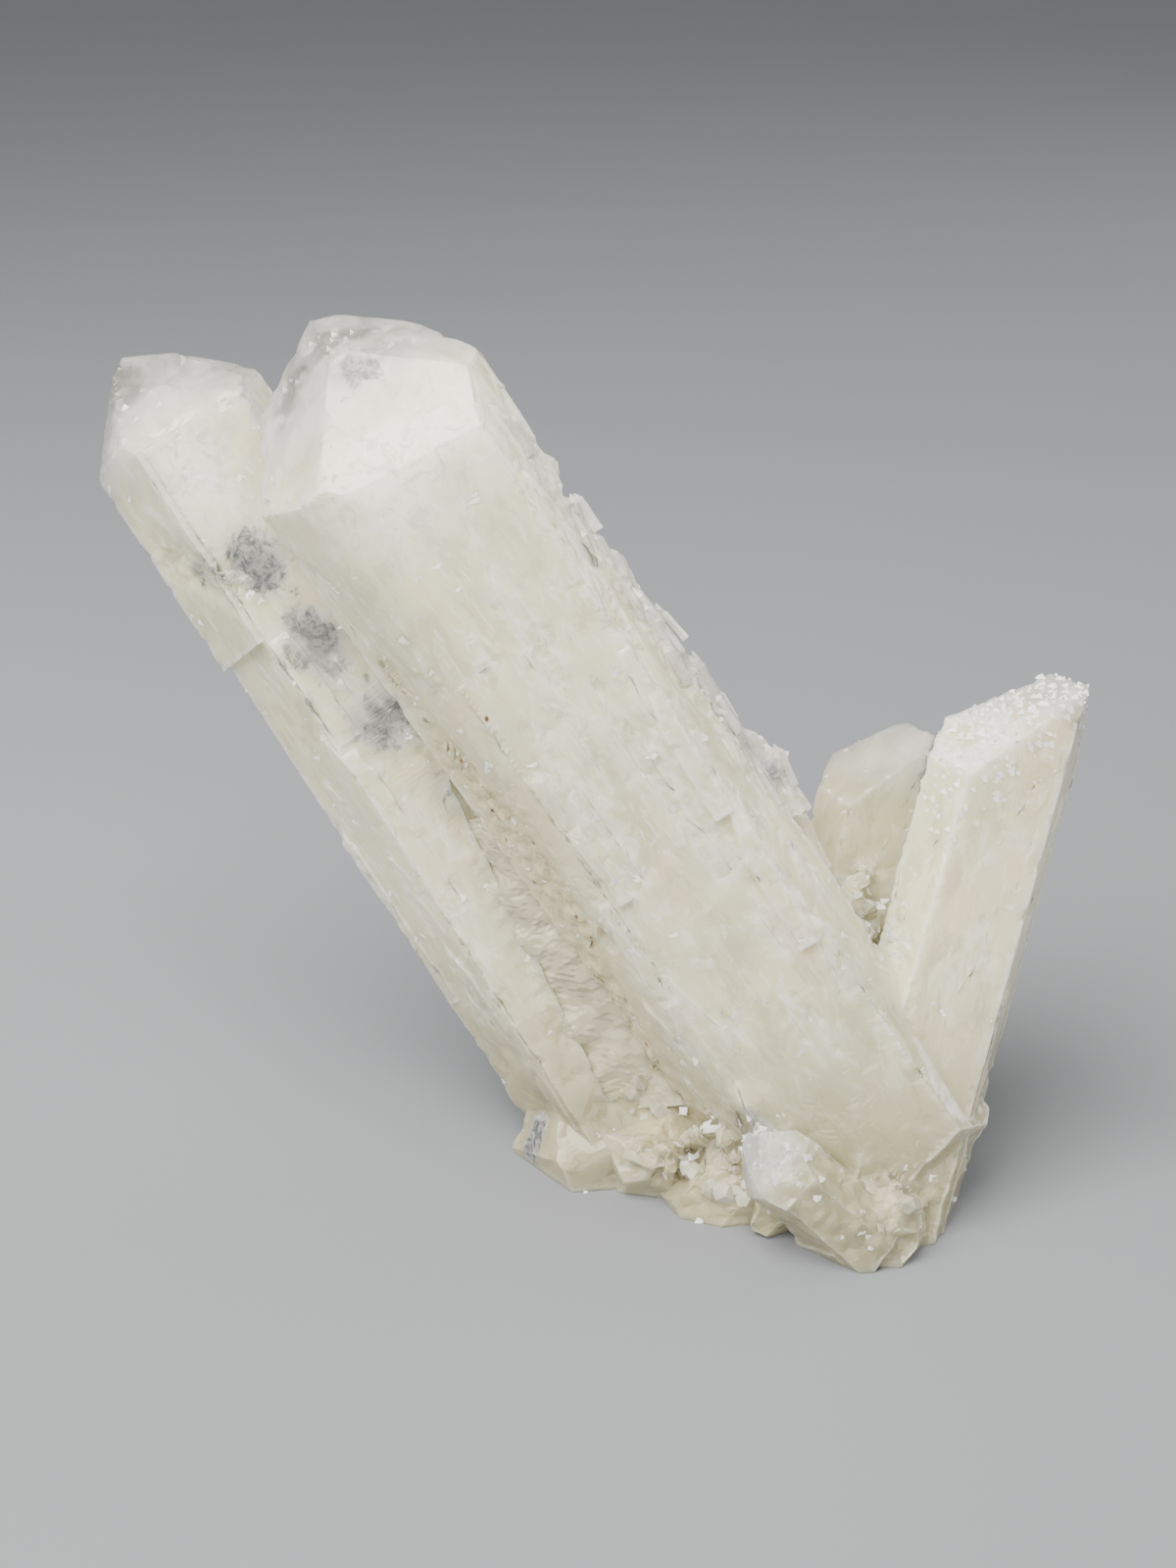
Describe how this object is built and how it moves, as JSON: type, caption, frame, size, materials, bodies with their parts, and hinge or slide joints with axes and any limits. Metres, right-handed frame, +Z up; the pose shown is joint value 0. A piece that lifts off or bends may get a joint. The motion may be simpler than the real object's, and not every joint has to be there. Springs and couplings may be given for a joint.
{
  "type": "quartz crystal cluster",
  "caption": "Cluster of long cloudy quartz crystals with clear pointed tips, grown together on a broken root that rests flat.",
  "frame": {"origin": "centre of the bounding box at the flat foot, on the surface that the cluster rests on", "axes": "+Z up, +X along the width towards the upright crystal at the right, -Y towards the picture's viewer"},
  "size_m": [0.1012, 0.0556, 0.0838],
  "materials": {
    "quartz": "natural crystal faces: clear to milky tips, cloudy cream-white body, fine growth lines, frosted and broken patches"
  },
  "bodies": {
    "root": {"quartz_cluster": "quartz"}
  },
  "joints": []
}
